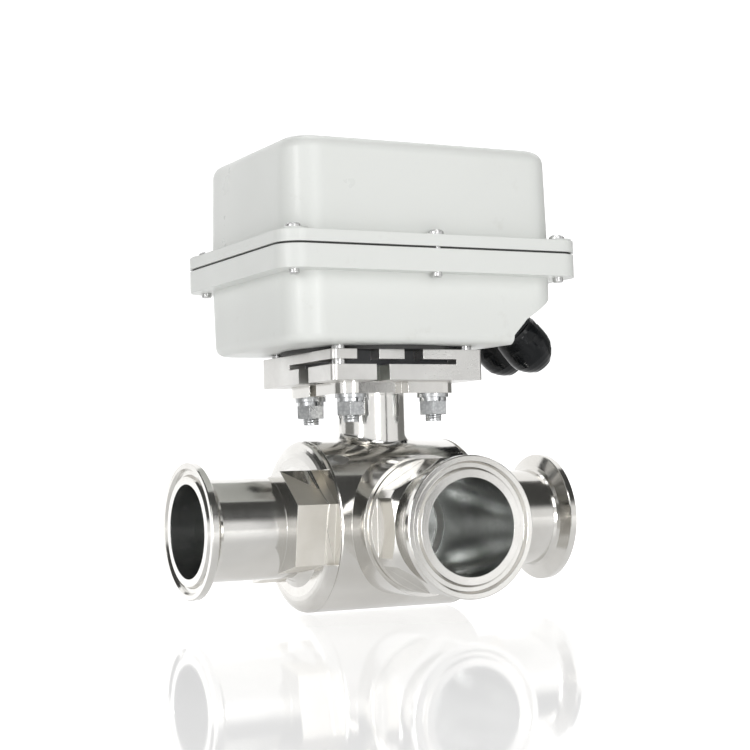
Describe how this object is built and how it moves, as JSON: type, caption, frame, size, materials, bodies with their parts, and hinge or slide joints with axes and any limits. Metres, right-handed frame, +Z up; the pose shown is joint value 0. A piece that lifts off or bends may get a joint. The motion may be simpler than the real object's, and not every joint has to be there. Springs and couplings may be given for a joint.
{
  "type": "motorised three-way ball valve",
  "caption": "Electric quarter-turn actuator in a grey box on a polished stainless three-way T-port ball valve with hygienic clamp ends, bolted through a square bracket.",
  "frame": {"origin": "centre of the ball, where the axes of the three ports cross", "axes": "+X along the run towards the port under the cable glands, -Y out of the front port, +Z up the stem to the actuator"},
  "size_m": [0.155, 0.1225, 0.1754],
  "materials": {
    "box_paint": "powder coat, light warm grey",
    "polished_stainless": "polished stainless steel",
    "mirror_ball": "mirror polished",
    "machined_bracket": "fine machined, bright",
    "zinc_hardware": "zinc plated",
    "stainless_screw": "stainless screws",
    "black_rubber": "black rubber",
    "black_nylon": "black nylon",
    "white_ptfe": "white PTFE",
    "stem_steel": "ground stainless steel",
    "gear_steel": "cut steel, oiled",
    "bronze": "sintered bronze",
    "frame_aluminium": "plain sheet",
    "motor_case": "dark grey motor can",
    "capacitor_can": "drawn can",
    "cam_plastic": "moulded acetal, red",
    "switch_plastic": "black phenolic",
    "spring_steel": "spring strip",
    "board_green": "solder-resist green",
    "terminal_green": "green moulded block",
    "indicator_yellow": "yellow moulded disc",
    "window_clear": "clear window"
  },
  "bodies": {
    "fixed_assembly": {"valve_body": "polished_stainless", "left_end_cap": "polished_stainless", "right_end_cap": "polished_stainless", "front_end_cap": "polished_stainless", "run_seats": "white_ptfe", "front_seat": "white_ptfe", "cap_seals": "black_rubber", "thrust_washer": "white_ptfe", "stem_packing": "white_ptfe", "packing_follower": "stem_steel", "disc_springs": "spring_steel", "pad_bolts": "zinc_hardware", "pad_nuts": "zinc_hardware", "spring_washers": "zinc_hardware", "flat_washers": "zinc_hardware", "mounting_bracket": "machined_bracket", "bracket_screws": "stainless_screw", "base_gasket": "black_rubber", "lower_housing": "box_paint", "upper_cover": "box_paint", "cover_gasket": "black_rubber", "cover_screws": "stainless_screw", "shaft_seal": "black_rubber", "lower_bush": "bronze", "upper_bush": "bronze", "gear_axles": "stem_steel", "gear_plate": "frame_aluminium", "plate_pillars": "stainless_screw", "inner_screws": "stainless_screw", "motor": "motor_case", "motor_screws": "stainless_screw", "motor_capacitor": "capacitor_can", "closed_switch": "switch_plastic", "open_switch": "switch_plastic", "switch_bracket": "frame_aluminium", "switch_screws": "stainless_screw", "circuit_board": "board_green", "board_spacers": "stainless_screw", "terminal_block": "terminal_green", "terminal_screws": "stainless_screw", "indicator_window": "window_clear", "gland_bodies": "black_nylon", "gland_nuts": "black_nylon", "gland_seals": "black_rubber", "gland_washers": "black_rubber", "gland_locknuts": "black_nylon"},
    "quarter_turn": {"ball": "mirror_ball", "stem": "stem_steel", "stem_nut": "zinc_hardware", "drive_sleeve": "gear_steel", "output_shaft": "gear_steel", "output_gear": "gear_steel", "closed_cam": "cam_plastic", "open_cam": "cam_plastic", "indicator_disc": "indicator_yellow"},
    "intermediate_shaft": {"intermediate_gear": "gear_steel"},
    "first_shaft": {"first_gear": "gear_steel"},
    "motor_rotor": {"motor_pinion": "gear_steel"},
    "closed_switch_arm": {"closed_lever": "spring_steel"},
    "open_switch_arm": {"open_lever": "spring_steel"}
  },
  "joints": [
    {"name": "output_turn", "type": "hinge", "parent": "fixed_assembly", "child": "quarter_turn", "pos_m": [0, 0, 0], "axis": [0, 0, 1], "range_deg": [0, 90]},
    {"name": "intermediate_turn", "type": "hinge", "parent": "fixed_assembly", "child": "intermediate_shaft", "pos_m": [-0.026, 0.01688, 0.08], "axis": [0, 0, 1], "range_deg": [-375, 0]},
    {"name": "first_turn", "type": "hinge", "parent": "fixed_assembly", "child": "first_shaft", "pos_m": [-0.03, -0.00556, 0.084], "axis": [0, 0, 1], "range_deg": [0, 1406.25]},
    {"name": "motor_turn", "type": "hinge", "parent": "fixed_assembly", "child": "motor_rotor", "pos_m": [-0.02399, -0.01931, 0.088], "axis": [0, 0, 1], "range_deg": [-5625, 0]},
    {"name": "closed_lever_press", "type": "hinge", "parent": "fixed_assembly", "child": "closed_switch_arm", "pos_m": [0.0142, 0.0085, 0.1022], "axis": [0, 0, 1], "range_deg": [0, 5], "stiffness_Nm_per_rad": 0.05},
    {"name": "open_lever_press", "type": "hinge", "parent": "fixed_assembly", "child": "open_switch_arm", "pos_m": [0.0142, 0.0085, 0.1086], "axis": [0, 0, 1], "range_deg": [0, 5], "stiffness_Nm_per_rad": 0.05}
  ],
  "couplings": [
    {"joint": "intermediate_turn", "follows": "output_turn", "ratio": -4.1667},
    {"joint": "first_turn", "follows": "output_turn", "ratio": 15.625},
    {"joint": "motor_turn", "follows": "output_turn", "ratio": -62.5}
  ]
}
